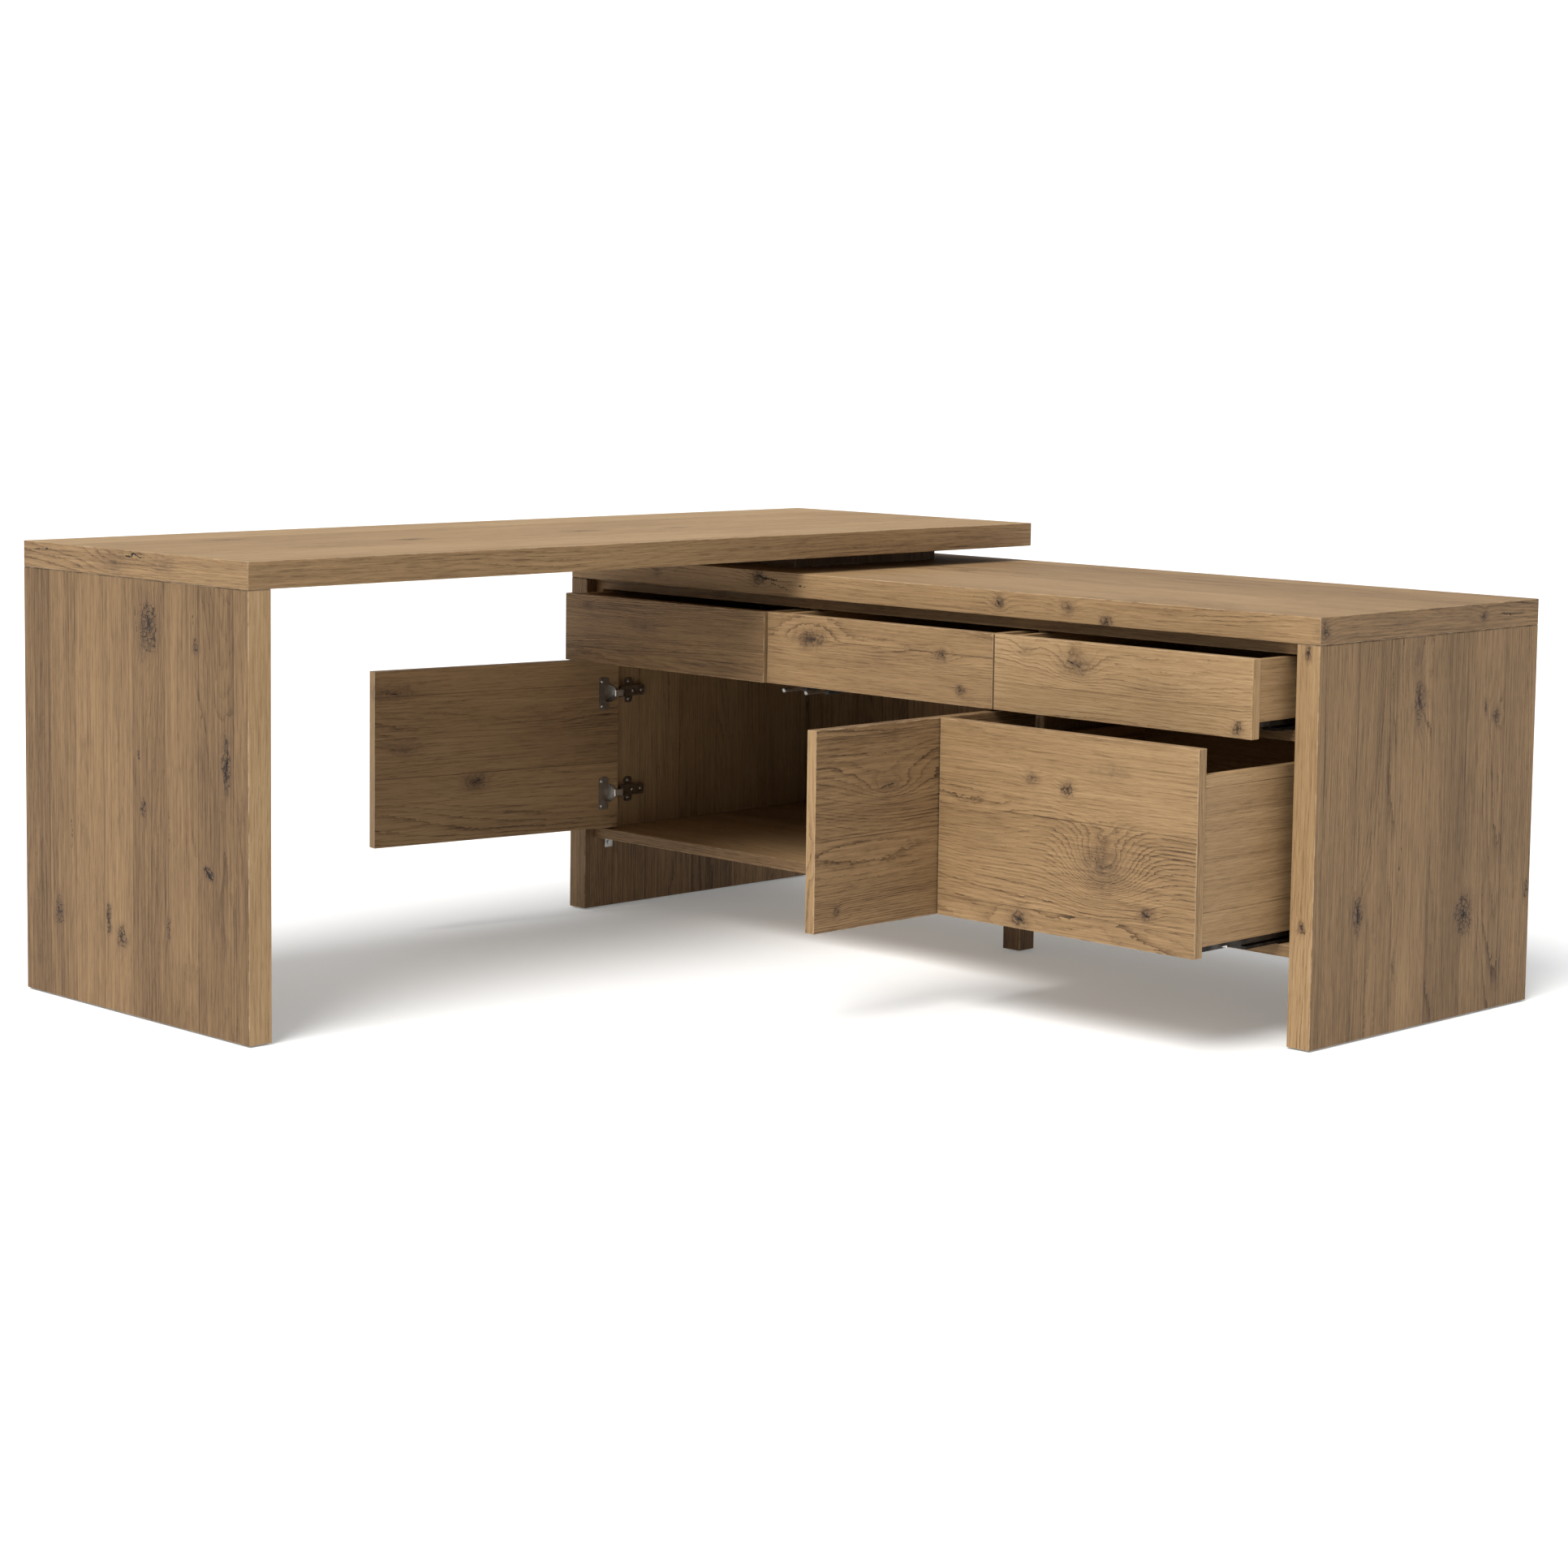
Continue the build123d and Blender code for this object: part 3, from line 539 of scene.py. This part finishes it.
TOP_END_KNOTS = [(0.316, 0.668, 0.012, 0.012, 1.4, 0.85), (0.760, 0.668, 0.010, 0.008, 1.2, 0.9)]
TOP_END_CRACKS = [(0.800, 0.670, 0.860, 0.668, 0.0016)]
DRAWER_1_KNOTS = [(0.590, 0.575, 0.030, 0.012, 3.2, 0.5), (0.745, 0.604, 0.012, 0.007, 1.6, 0.6)]
DRAWER_2_KNOTS = [
    (0.160, 0.583, 0.028, 0.013, 3.4, 0.8), (-0.150, 0.578, 0.014, 0.009, 1.6, 0.75),
    (-0.196, 0.522, 0.010, 0.008, 1.4, 0.85), (0.000, 0.560, 0.050, 0.014, 1.6, 0.15),
]
DRAWER_2_CRACKS = [(0.185, 0.586, 0.140, 0.580, 0.0012), (-0.140, 0.582, -0.168, 0.574, 0.0012)]
DRAWER_3_KNOTS = [
    (-0.450, 0.586, 0.026, 0.015, 3.8, 0.7), (-0.780, 0.512, 0.009, 0.010, 1.4, 0.95),
    (-0.340, 0.600, 0.012, 0.009, 1.4, 0.35), (-0.620, 0.560, 0.060, 0.018, 2.2, 0.12),
]
DRAWER_3_CRACKS = [(-0.428, 0.594, -0.470, 0.578, 0.0012)]
FILE_KNOTS = [
    (-0.622, 0.286, 0.034, 0.028, 11.0, 0.64), (-0.547, 0.402, 0.011, 0.010, 1.8, 1.0),
    (-0.472, 0.414, 0.012, 0.009, 1.4, 0.7), (-0.450, 0.182, 0.015, 0.012, 1.8, 0.9),
    (-0.712, 0.222, 0.013, 0.009, 1.4, 0.85), (-0.380, 0.300, 0.050, 0.030, 2.6, 0.12),
    (-0.640, 0.440, 0.030, 0.012, 1.4, 0.3),
]
FILE_CRACKS = [
    (-0.596, 0.302, -0.640, 0.276, 0.0012), (-0.440, 0.186, -0.464, 0.176, 0.0022),
    (-0.700, 0.226, -0.726, 0.218, 0.0016),
]
RIGHT_DOOR_KNOTS = [
    (0.110, 0.398, 0.055, 0.030, 3.6, 0.2), (0.096, 0.387, 0.020, 0.009, 2.0, 0.55),
    (0.216, 0.196, 0.007, 0.009, 1.0, 0.9), (0.160, 0.300, 0.080, 0.022, 2.2, 0.08),
]
RIGHT_DOOR_CRACKS = [(0.075, 0.392, 0.125, 0.386, 0.0014)]
LEFT_DOOR_KNOTS = [
    (0.488, 0.275, 0.024, 0.015, 2.6, 0.75), (0.339, 0.345, 0.030, 0.014, 2.4, 0.5),
    (0.300, 0.452, 0.050, 0.012, 2.0, 0.6), (0.640, 0.380, 0.040, 0.015, 2.0, 0.2),
]
LEFT_DOOR_CRACKS = [(0.330, 0.452, 0.290, 0.447, 0.0016), (0.505, 0.280, 0.476, 0.270, 0.0014)]
DESK_TOP_KNOTS = [
    (-0.376, 0.534, 0.026, 0.010, 1.6, 0.8), (0.030, 0.546, 0.034, 0.012, 1.6, 0.6),
    (0.243, 0.524, 0.022, 0.010, 1.4, 0.5), (-0.640, 0.700, 0.030, 0.014, 1.6, 0.5),
]
DESK_TOP_CRACKS = [(-0.400, 0.535, -0.350, 0.533, 0.0018), (0.010, 0.546, 0.050, 0.548, 0.0012)]

# ---------------------------------------------------------------- finishes
desk_top_knots = on_face("desk_top", "z", 1, DESK_TOP_KNOTS)
desk_top_knots += on_face("desk_top", "x", 0, DESK_END_KNOTS)
desk_top_cracks = lines_on_face("desk_top", "z", 1, DESK_TOP_CRACKS)
desk_top_cracks += lines_on_face("desk_top", "x", 0, DESK_END_CRACKS)
paint(oak("oak_desk_top", "x", "y", 1.3, extent("desk_top"), desk_top_knots, desk_top_cracks,
          plank=0.16, bold=0.75, tone=0.70, end_tone=0.50, edge_tone=0.52), "desk_top")
paint(oak("oak_side_panel", "z", "y", 2.6, extent("desk_side_panel"),
          on_face("desk_side_panel", "x", 0, SIDE_PANEL_KNOTS),
          lines_on_face("desk_side_panel", "x", 0, SIDE_PANEL_CRACKS),
          plank=0.085, bold=0.50, tone=0.33, edge_tone=0.70, joint=extent("desk_side_panel")[1].z),
      "desk_side_panel")
top_knots = on_face("credenza_top", "x", 0, TOP_FRONT_KNOTS)
top_knots += on_face("credenza_top", "y", 0, TOP_END_KNOTS)
top_cracks = lines_on_face("credenza_top", "x", 0, TOP_FRONT_CRACKS)
top_cracks += lines_on_face("credenza_top", "y", 0, TOP_END_CRACKS)
# the top's end faces are darker partly as end grain and partly as painted shade
paint(oak("oak_credenza_top", "y", "x", 4.1, extent("credenza_top"), top_knots, top_cracks,
          plank=0.15, bold=0.9, tone=0.58, end_tone=0.36, edge_tone=0.56), "credenza_top")
panel_knots = on_face("credenza_near_panel", "y", 0, NEAR_PANEL_KNOTS)
panel_knots += on_face("credenza_near_panel", "x", 0, NEAR_EDGE_KNOTS)
paint(oak("oak_near_panel", "z", "x", 5.2, extent("credenza_near_panel"), panel_knots,
          lines_on_face("credenza_near_panel", "y", 0, NEAR_PANEL_CRACKS),
          plank=0.10, bold=1.0, tone=0.39, edge_tone=0.60,
          joint=extent("credenza_near_panel")[1].z),
      "credenza_near_panel")
# the far panel's low tone is partly its own and partly painted shade from the desk above it
paint(oak("oak_far_panel", "z", "x", 6.7, extent("credenza_far_panel"), plank=0.13, bold=0.8,
          tone=0.34, edge_tone=0.42, wild=0.7, joint=extent("credenza_far_panel")[1].z),
      "credenza_far_panel")
# the deck's edges are darkened as painted shade under the drawers and doors
paint(oak("oak_deck", "y", "x", 7.9, extent("case_deck"), plank=0.18, bold=0.6, tone=0.64,
          edge_tone=0.30, wild=0.3), "case_deck")
paint(oak("oak_top_board", "y", "x", 8.8, extent("case_top_board"), plank=0.18, bold=0.6,
          tone=0.48), "case_top_board")
for number, name in enumerate(("case_near_side", "case_far_side", "cabinet_partition")):
    paint(oak("oak_" + name, "z", "x", 9.5 + number, extent(name), plank=0.12, bold=0.7,
              tone=0.60, wild=0.3), name)
paint(oak("oak_back_panel", "z", "y", 12.4, extent("case_back_panel"), plank=0.15, bold=0.6,
          tone=0.36, wild=0.6), "case_back_panel")
paint(oak("oak_divider", "y", "x", 13.6, extent("drawer_divider"), plank=0.2, bold=0.5,
          tone=0.44), "drawer_divider")
paint(oak("oak_drawer_partitions", "x", "z", 14.9, None, plank=0.2, bold=0.5, tone=0.42),
      "drawer_partitions")
for number, (name, knots, cracks, tone) in enumerate((
    # drawer 1's low tone is partly its own and partly painted shade from the desk top above it
    ("drawer_1_front", DRAWER_1_KNOTS, (), 0.37),
    ("drawer_2_front", DRAWER_2_KNOTS, DRAWER_2_CRACKS, 0.58),
    ("drawer_3_front", DRAWER_3_KNOTS, DRAWER_3_CRACKS, 0.71),
    ("file_drawer_front", FILE_KNOTS, FILE_CRACKS, 0.55),
)):
    paint(oak("oak_" + name, "y", "z", 16.1 + 1.7 * number, extent(name),
              on_face(name, "x", 0, knots), lines_on_face(name, "x", 0, cracks),
              plank=0.14, bold=1.45, tone=tone, end_tone=0.64), name)
paint(oak("oak_left_door", "y", "z", 24.3, extent("left_door", LEFT_TURN),
          on_face("left_door", "x", 1, LEFT_DOOR_KNOTS, LEFT_TURN),
          lines_on_face("left_door", "x", 1, LEFT_DOOR_CRACKS, LEFT_TURN),
          turn=LEFT_TURN, plank=0.17, bold=1.2, tone=0.52, end_tone=0.66, wild=0.2), "left_door")
paint(oak("oak_right_door", "y", "z", 26.2, extent("right_door", RIGHT_TURN),
          on_face("right_door", "x", 0, RIGHT_DOOR_KNOTS, RIGHT_TURN),
          lines_on_face("right_door", "x", 0, RIGHT_DOOR_CRACKS, RIGHT_TURN),
          turn=RIGHT_TURN, plank=0.17, bold=1.3, tone=0.40, end_tone=0.66, wild=0.2), "right_door")
TOP_STRIP = 0.020       # the paler strip along the top of the file drawer's sides
for number, name in enumerate(DRAWERS):
    strip, side_tone = None, 0.56
    if name == "file_drawer":
        side_tone = 0.63
        strip = (extent("file_drawer_box_sides")[1].z - TOP_STRIP, 0.09)
    paint(oak("oak_box_sides_" + name, "x", "z", 30.3 + number, None, plank=0.2, bold=0.35,
              tone=side_tone, strip=strip), name + "_box_sides")
    paint(oak("oak_box_ends_" + name, "y", "z", 35.8 + number, None, plank=0.2, bold=0.35,
              tone=0.54), name + "_box_ends")
    paint(oak("oak_box_bottom_" + name, "x", "y", 40.4 + number, None, plank=0.2, bold=0.3,
              tone=0.52), name + "_box_bottom")
paint(oak("dark_riser", "y", "z", 45.1, extent("riser_block"), plank=0.2, bold=0.5, tone=0.20),
      "riser_block")
paint(oak("dark_foot", "z", "x", 46.3, extent("centre_foot"), plank=0.2, bold=0.5, tone=0.26),
      "centre_foot")
paint(oak("beech_dowels", "z", "x", 47.7, None, plank=0.3, bold=0.2, tone=0.85), "corner_dowels")

nickel = metal("nickel", (0.34, 0.32, 0.29), (0.60, 0.58, 0.55), 0.30, "z")
bright_nickel = metal("bright_nickel", (0.74, 0.73, 0.71), (0.93, 0.92, 0.90), 0.34, "z")
slide_steel = metal("slide_steel", (0.030, 0.027, 0.025), (0.085, 0.080, 0.074), 0.46, "x")
fastener_steel = metal("fastener_steel", (0.30, 0.30, 0.29), (0.58, 0.57, 0.55), 0.30, "z")
plunger_metal = metal("plunger_metal", (0.35, 0.35, 0.35), (0.62, 0.62, 0.62), 0.38, "x")
latch_plastic = moulded("latch_plastic", (0.020, 0.020, 0.021), (0.040, 0.040, 0.041), 0.46)
nylon = moulded("glide_nylon", (0.42, 0.40, 0.36), (0.56, 0.54, 0.50), 0.48)
paint(nickel, "left_door_hinge_cups", "right_door_hinge_cups", "door_hinge_arms")
paint(bright_nickel, "left_door_hinge_links", "right_door_hinge_links")
paint(slide_steel, "case_slide_channels")
for name in DRAWERS:
    paint(slide_steel, name + "_slide_channels", name + "_slide_middles")
paint(fastener_steel, "riser_bolts", "deck_screws", "deck_brackets")
paint(plunger_metal, "left_latch_plunger", "right_latch_plunger")
paint(latch_plastic, "latch_housings")
paint(nylon, "floor_glides")


# ---------------------------------------------------------------- pieces made here
def mesh_from(name, build):
    mesh = bpy.data.meshes.new(name)
    build.to_mesh(mesh)
    build.free()
    return mesh


def add_object(name, data):
    made = bpy.data.objects.new(name, data)
    bpy.context.scene.collection.objects.link(made)
    return made


def new_piece(name, build, material, body):
    """A visible piece from a bmesh, riding on a body."""
    mesh = mesh_from(name, build)
    mesh.materials.append(material)
    made = add_object(name, mesh)
    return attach(made, body)


def cross_head(radius, height):
    """A pan-head screw's head with a cross recess, standing on z = 0."""
    profile = ((1.0, 0.0), (1.0, 0.30), (0.92, 0.58), (0.70, 0.84), (0.38, 0.97), (0.0, 1.0))
    sides = 28
    head = bmesh.new()
    rings = []
    for share, level in profile[:-1]:
        ring = []
        for i in range(sides):
            a = 2 * math.pi * i / sides
            ring.append(head.verts.new((radius * share * math.cos(a),
                                        radius * share * math.sin(a), height * level)))
        rings.append(ring)
    for low, high in zip(rings, rings[1:]):
        for i in range(sides):
            j = (i + 1) % sides
            head.faces.new((low[i], low[j], high[j], high[i]))
    head.faces.new(list(reversed(rings[0])))
    head.faces.new(rings[-1])
    recess = bmesh.new()
    for wide, deep in ((1.15, 0.28), (0.28, 1.15)):
        made = bmesh.ops.create_cube(recess, size=1.0)["verts"]
        size = (radius * wide, radius * deep, height * 0.9)
        bmesh.ops.scale(recess, vec=size, verts=made)
        bmesh.ops.translate(recess, vec=(0, 0, height * 1.02), verts=made)
    solid = add_object("head", mesh_from("head", head))
    cutter = add_object("recess", mesh_from("recess", recess))
    cut = solid.modifiers.new("recess", "BOOLEAN")
    cut.object, cut.operation, cut.solver = cutter, "DIFFERENCE", "EXACT"
    cut.use_self = True
    graph = bpy.context.evaluated_depsgraph_get()
    result = bpy.data.meshes.new_from_object(solid.evaluated_get(graph))
    for made in (solid, cutter):
        bpy.data.objects.remove(made)
    return result


HEAD_RADIUS, HEAD_HEIGHT = 0.0036, 0.0020
HEAD = cross_head(HEAD_RADIUS, HEAD_HEIGHT)


def screws(name, body, places, material):
    """Copies of the screw head: each place is (centre on the surface, outward direction, turn)."""
    build = bmesh.new()
    for centre, outward, angle in places:
        start = len(build.verts)
        build.from_mesh(HEAD)
        build.verts.ensure_lookup_table()
        stand = Vector(outward).to_track_quat("Z", "Y").to_matrix().to_4x4()
        spin = Matrix.Rotation(math.radians(angle), 4, "Z")
        place = Matrix.Translation(centre) @ stand @ spin
        bmesh.ops.transform(build, matrix=place, verts=build.verts[start:])
    return new_piece(name, build, material, body)


def unturned(point, turn):
    """From a door's own layout, as it is when closed, to where it stands."""
    x, y, degrees = turn
    spin = Matrix.Rotation(math.radians(-degrees), 4, "Z")
    there = Matrix.Translation((x, y, 0)) @ spin @ Matrix.Translation((-x, -y, 0))
    return there @ Vector(point)


FLANGE_HALF = 0.0315    # half the height of a hinge cup's flange
FLANGE_INSET = 0.0065   # from the flange's outer edge to the line of its screws
SCREW_RISE = 0.024      # a cup's screws are this far above and below its middle
for side, turn, hand in (("left", LEFT_TURN, 1), ("right", RIGHT_TURN, -1)):
    low, high = extent(side + "_door_hinge_cups", turn)
    face = high.x
    across_flange = low.y + FLANGE_INSET if hand > 0 else high.y - FLANGE_INSET
    heights = (low.z + FLANGE_HALF, high.z - FLANGE_HALF)
    places = []
    for number, z in enumerate(heights):
        for rise in (-SCREW_RISE, SCREW_RISE):
            centre = unturned((face - 0.0001, across_flange, z + rise), turn)
            ahead = unturned((face + 1.0, across_flange, z + rise), turn) - centre
            places.append((centre, ahead.normalized(), 20 + 31 * number + 900 * rise))
    screws(side + "_door_hinge_screws", side + "_door", places, nickel)


# ---------------------------------------------------------------- file drawer's catches
def catch(name, body, corner, hand):
    """An extruded L profile: it lies along X on a slide's outer wall and its end turns down."""
    profile = ((0.0, 0.0), (0.011, 0.0), (0.011, -0.0042), (0.0088, -0.0042), (0.0088, -0.0018),
               (0.0, -0.0018))
    build = bmesh.new()
    near = [build.verts.new((corner.x + x, corner.y, corner.z + z)) for x, z in profile]
    face = build.faces.new(near)
    grown = bmesh.ops.extrude_face_region(build, geom=[face])["geom"]
    moved = [v for v in grown if isinstance(v, bmesh.types.BMVert)]
    bmesh.ops.translate(build, vec=(0, -hand * 0.0050, 0), verts=moved)
    bmesh.ops.recalc_face_normals(build, faces=build.faces)
    bmesh.ops.bevel(build, geom=build.edges[:], offset=0.0004, segments=2, affect="EDGES")
    return new_piece(name, build, bright_nickel, body)


CATCH_BACK = 0.054      # behind the front end of the slides
slide_low, slide_high = extent("file_drawer_slide_channels")
slide_middle = (slide_low.z + slide_high.z) / 2
for side, y, hand in (("near", slide_low.y, 1), ("far", slide_high.y, -1)):
    catch("file_drawer_catch_" + side, "file_drawer",
          Vector((slide_low.x + CATCH_BACK, y, slide_middle)), hand)

# ---------------------------------------------------------------- hinge arms' screws
PLATE_HEIGHT = 0.048    # a hinge arm's mounting plate, from wing to wing
WING_RISE = 0.017       # a wing's screw is this far above or below the arm's middle
WING_BACK = 0.032       # and this far in front of the arm's back end
WING_THICK = 0.0024
ARM_THICK = 0.0139      # from the case wall to the arm's face
ARM_SCREWS = (0.008, 0.030)
arm_points = [v.co for v in NODES["door_hinge_arms"].data.vertices]
for side, hand in (("left", 1), ("right", -1)):
    own = [p for p in arm_points if (p.y > 0.2) == (hand > 0)]
    wall = max(p.y for p in own) if hand > 0 else min(p.y for p in own)
    back = max(p.x for p in own)
    zs = sorted({round(p.z, 4) for p in own})
    places = []
    for middle in (zs[0] + PLATE_HEIGHT / 2, zs[-1] - PLATE_HEIGHT / 2):
        for rise in (-WING_RISE, WING_RISE):
            centre = (back - WING_BACK, wall - hand * WING_THICK, middle + rise)
            places.append((centre, (0, -hand, 0), 35 + 2000 * rise))
        for step in ARM_SCREWS:
            centre = (back - step, wall - hand * ARM_THICK, middle)
            places.append((centre, (0, -hand, 0), 10 + 1500 * step))
    screws(side + "_hinge_arm_screws", "case", places, nickel)

# ---------------------------------------------------------------- studio
FLOOR_HALF = 30.0
FLOOR_GLOW = 0.18       # lifts the floor to the white of the photograph's backdrop
WORLD_LIGHT = 0.52
BACKDROP_WHITE = 1.1    # what the camera sees behind the floor; it lights nothing
KEY_TOWARDS = (-0.62, -0.15, 0.77)
KEY_STRENGTH = 3.15
KEY_SOFTNESS = 34.0

build = bmesh.new()
bmesh.ops.create_grid(build, x_segments=2, y_segments=2, size=FLOOR_HALF)
floor = add_object("studio_floor", mesh_from("studio_floor", build))
floor.location.z = cad_box[0].z - 0.0005
white = bpy.data.materials.new("studio_white")
white.use_nodes = True
white_inputs = white.node_tree.nodes["Principled BSDF"].inputs
white_inputs["Base Color"].default_value = (0.90, 0.90, 0.90, 1)
white_inputs["Roughness"].default_value = 0.9
white_inputs["Specular IOR Level"].default_value = 0.1
white_inputs["Emission Color"].default_value = (0.88, 0.96, 1.0, 1)
white_inputs["Emission Strength"].default_value = FLOOR_GLOW
floor.data.materials.append(white)

world = bpy.data.worlds.new("studio")
bpy.context.scene.world = world
world.use_nodes = True
sky = Graph(world.node_tree)
background = world.node_tree.nodes["Background"]
background.inputs["Color"].default_value = (1.0, 1.0, 1.0, 1)
background.inputs["Strength"].default_value = WORLD_LIGHT
seen = sky.node("ShaderNodeBackground", {"Color": (1.0, 1.0, 1.0, 1),
                                         "Strength": BACKDROP_WHITE})
camera_ray = sky.node("ShaderNodeLightPath").outputs["Is Camera Ray"]
both = sky.node("ShaderNodeMixShader", {0: camera_ray, 1: background.outputs[0],
                                        2: seen.outputs[0]})
world.node_tree.links.new(both.outputs[0], world.node_tree.nodes["World Output"].inputs[0])


def soft_sun(name, towards, strength, softness, colour):
    """Even light from far away, whose shadows are soft."""
    data = bpy.data.lights.new(name, "SUN")
    data.energy = strength
    data.angle = math.radians(softness)
    data.color = colour
    light = add_object(name, data)
    light.rotation_mode = "QUATERNION"
    light.rotation_quaternion = Vector(towards).to_track_quat("Z", "Y")
    return light


soft_sun("key_light", KEY_TOWARDS, KEY_STRENGTH, KEY_SOFTNESS, (1.0, 0.985, 0.965))

# ---------------------------------------------------------------- camera
CAMERA_PLACE = Vector((-3.980, -3.946, 1.130))
CAMERA_YAW = math.radians(44.47)
CAMERA_PITCH = math.radians(5.50)
CAMERA_ROLL = math.radians(0.66)
LENS = 76.60
SHIFT = (0.029, -0.086)

forward = Vector((
    math.sin(CAMERA_YAW) * math.cos(CAMERA_PITCH),
    math.cos(CAMERA_YAW) * math.cos(CAMERA_PITCH),
    -math.sin(CAMERA_PITCH),
))
level = Vector((math.cos(CAMERA_YAW), -math.sin(CAMERA_YAW), 0))
above = level.cross(forward)
right = level * math.cos(CAMERA_ROLL) + above * math.sin(CAMERA_ROLL)
up = above * math.cos(CAMERA_ROLL) - level * math.sin(CAMERA_ROLL)
camera_data = bpy.data.cameras.new("camera")
camera_data.lens = LENS
camera_data.sensor_width = 36
camera_data.shift_x, camera_data.shift_y = SHIFT
camera_data.clip_end = 100
camera = add_object("camera", camera_data)
turned = Matrix((right, up, -forward)).transposed().to_4x4()
camera.matrix_world = Matrix.Translation(CAMERA_PLACE) @ turned
bpy.context.scene.camera = camera

bpy.context.scene.view_settings.view_transform = "Standard"
bpy.context.scene.view_settings.look = "None"
